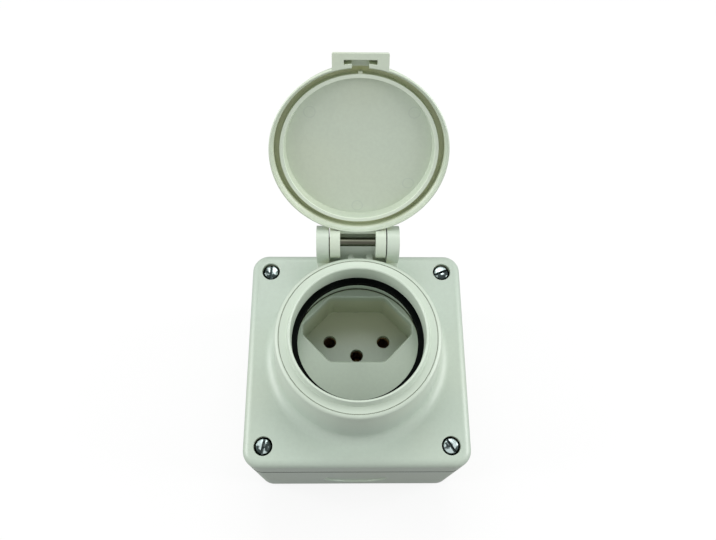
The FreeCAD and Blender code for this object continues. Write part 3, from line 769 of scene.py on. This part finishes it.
def slotted_screw(name, head_r, head_h, length, slot_depth, pitch):
    """A screw that points down, its head's top at the origin: rounded head, slot, core, point and thread."""
    shank_r = head_r * SHANK_SHARE
    core_r = shank_r * CORE_SHARE
    bpy.ops.object.select_all(action="DESELECT")
    seat = (0, 0, -head_h / 2)
    bpy.ops.mesh.primitive_cylinder_add(vertices=HEAD_SIDES, radius=head_r, depth=head_h, location=seat)
    screw = bpy.context.active_object
    screw.name = name
    settled(screw)
    dome_h = head_h * DOME_SHARE
    select_faces(screw, lambda face: face.normal.z > FACING)
    bpy.ops.transform.translate(value=(0, 0, -dome_h))
    for step in range(DOME_STEPS):
        before = math.pi / 2 * step / DOME_STEPS
        after = math.pi / 2 * (step + DOME_LAST_STEP) / DOME_STEPS
        inwards = head_r * (math.cos(before) - math.cos(after))
        upwards = dome_h * (math.sin(after) - math.sin(before))
        bpy.ops.mesh.inset(thickness=inwards, depth=0)
        bpy.ops.transform.translate(value=(0, 0, upwards))
    bpy.ops.object.mode_set(mode="OBJECT")
    select_faces(screw, lambda face: face.normal.z < -FACING)
    bpy.ops.mesh.inset(thickness=head_r - core_r)
    shank = length - head_h
    for depth, width in ((shank - 2 * core_r, 1.0), (2 * core_r, POINT_SHARE)):
        bpy.ops.mesh.extrude_region_move(TRANSFORM_OT_translate={"value": (0, 0, -depth)})
        bpy.ops.transform.resize(value=(width, width, 1))
    bpy.ops.object.mode_set(mode="OBJECT")
    bpy.ops.object.select_all(action="DESELECT")
    bpy.ops.mesh.primitive_cube_add(size=1, location=(0, 0, 0))
    blade = bpy.context.active_object
    blade.scale = (3 * head_r, head_r * SLOT_SHARE, 2 * slot_depth)
    cut = screw.modifiers.new("slot", "BOOLEAN")
    cut.object = blade
    cut.operation = "DIFFERENCE"
    cut.solver = "EXACT"
    apply_all(screw)
    bpy.data.objects.remove(blade)
    rounded(screw, THIN_EDGE)
    ridge = thread(shank_r, core_r, pitch, -head_h - pitch, shank - 2 * core_r - 2 * pitch)
    bpy.ops.object.select_all(action="DESELECT")
    ridge.select_set(True)
    screw.select_set(True)
    bpy.context.view_layer.objects.active = screw
    bpy.ops.object.join()
    return screw


def screw_at(model, node, turn, upside_down):
    """A copy of a modelled screw in the place of its node."""
    low, high = (Vector(corner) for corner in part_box(node))
    piece = bpy.data.objects.new(node + "_finished", model.data.copy())
    bpy.context.scene.collection.objects.link(piece)
    seat = (low + high) / 2
    seat.z = low.z if upside_down else high.z
    flip = Matrix.Rotation(math.pi if upside_down else 0.0, 4, "X")
    piece.matrix_world = Matrix.Translation(seat) @ flip @ Matrix.Rotation(turn, 4, "Z")
    settled(piece)
    shaded(piece)
    fitted(piece, BOX, "screw", SCREW_FINISH, node)


def screw_sizes(node):
    """A screw's head radius and whole length, from its node."""
    low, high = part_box(node)
    return (high[0] - low[0]) / 2, high[2] - low[2]


def screws():
    """Cover, strap and terminal screws, each kind modelled once and copied."""
    large = (COVER_HEAD_H, COVER_SLOT_DEPTH, COVER_PITCH)
    small = (TERMINAL_HEAD_H, TERMINAL_SLOT_DEPTH, TERMINAL_PITCH)
    kinds = (
        ("cover_screw_", SCREW_PLACES, large, SLOT_TURNS, False),
        ("insert_screw_", SIDES, large, (0, 0), False),
        ("terminal_screw_", PIN_NAMES, small, (0, 0, 0), True),
    )
    for kind, places, (head_h, slot_depth, pitch), turns, upside_down in kinds:
        head_r, length = screw_sizes(kind + places[0])
        model = slotted_screw(kind + "model", head_r, head_h, length, slot_depth, pitch)
        for place, turn in zip(places, turns):
            screw_at(model, kind + place, math.radians(turn), upside_down)
        bpy.data.objects.remove(model)


def camera():
    """The camera, at the photograph's place and angle."""
    data = bpy.data.cameras.new("camera")
    data.lens = CAMERA_LENS
    data.sensor_width = CAMERA_SENSOR
    data.clip_start = 0.01
    data.clip_end = 50.0
    turn = Matrix.Rotation(CAMERA_PITCH, 4, "X") @ Matrix.Rotation(CAMERA_YAW, 4, "Y")
    turn = turn @ Matrix.Rotation(CAMERA_ROLL, 4, "Z")
    eye = bpy.data.objects.new("camera", data)
    eye.matrix_world = Matrix.Translation(CAMERA_PLACE) @ turn
    bpy.context.scene.collection.objects.link(eye)
    bpy.context.scene.camera = eye


def area_light(name, place, size, power):
    """A square soft lamp that faces the box."""
    data = bpy.data.lights.new(name, "AREA")
    data.shape = "SQUARE"
    data.size = size
    data.energy = power
    lamp = bpy.data.objects.new(name, data)
    lamp.location = place
    lamp.rotation_euler = Vector(place).to_track_quat("Z", "Y").to_euler()
    bpy.context.scene.collection.objects.link(lamp)


def looked_at(tree):
    """1 for rays that see a surface, straight or by way of metal or glass, and 0 for rays that light it."""
    path = tree.nodes.new("ShaderNodeLightPath")
    mirrored = {0: path.outputs["Is Glossy Ray"], 1: path.outputs["Is Transmission Ray"]}
    by_way = node_in(tree, "Math", mirrored, operation="MAXIMUM").outputs[0]
    seen = node_in(tree, "Math", {0: path.outputs["Is Camera Ray"], 1: by_way}, operation="MAXIMUM")
    return seen.outputs[0]


def studio():
    """Even white surroundings, a soft lamp on each side and a small one above the hinge side."""
    world = bpy.data.worlds.new("studio")
    bpy.context.scene.world = world
    world.use_nodes = True
    tree = world.node_tree
    light = tree.nodes["Background"]
    light.inputs["Color"].default_value = (1, 1, 1, 1)
    light.inputs["Strength"].default_value = WORLD_LIGHT
    white = node_in(tree, "Background", {"Color": (1, 1, 1, 1), "Strength": 1.0})
    mixed = node_in(tree, "MixShader", {"Fac": looked_at(tree)})
    tree.links.new(light.outputs[0], mixed.inputs[1])
    tree.links.new(white.outputs[0], mixed.inputs[2])
    tree.links.new(mixed.outputs[0], tree.nodes["World Output"].inputs["Surface"])
    area_light("left_softbox", *LEFT_LAMP)
    area_light("right_softbox", *RIGHT_LAMP)
    area_light("hinge_side_softbox", *HINGE_SIDE_LAMP)
    bpy.context.scene.view_settings.view_transform = "Standard"


def floor():
    """A white floor that keeps the shadow: it looks white to the camera and throws less light back."""
    bpy.ops.object.select_all(action="DESELECT")
    bpy.ops.mesh.primitive_plane_add(size=FLOOR_SIDE, location=(0, 0, CAD_BOX[0].z - FLOOR_GAP))
    ground = bpy.context.active_object
    ground.name = "floor"
    settled(ground)
    made, tree, shader, _ = material("floor_white")
    path = tree.nodes.new("ShaderNodeLightPath")
    seen = path.outputs["Is Camera Ray"]
    tone = range_in(tree, seen, 0.0, 1.0, FLOOR_BOUNCE, FLOOR_SEEN)
    grey = node_in(tree, "CombineColor", {"Red": tone, "Green": tone, "Blue": tone})
    tree.links.new(grey.outputs[0], shader.inputs["Base Color"])
    shader.inputs["Roughness"].default_value = 0.9
    shader.inputs["Specular IOR Level"].default_value = 0.0
    glow = node_in(tree, "Emission", {"Color": (1, 1, 1, 1), "Strength": 1.0})
    mirrored = node_in(tree, "Math", {0: looked_at(tree), 1: FLOOR_MIRRORED}, operation="MULTIPLY").outputs[0]
    share = mix_value(tree, seen, mirrored, FLOOR_WHITE)
    mixed = node_in(tree, "MixShader", {"Fac": share})
    tree.links.new(shader.outputs[0], mixed.inputs[1])
    tree.links.new(glow.outputs[0], mixed.inputs[2])
    tree.links.new(mixed.outputs[0], tree.nodes["Material Output"].inputs["Surface"])
    ground.data.materials.append(made)


camera()
studio()
floor()
mouldings()
metal_parts()
screws()
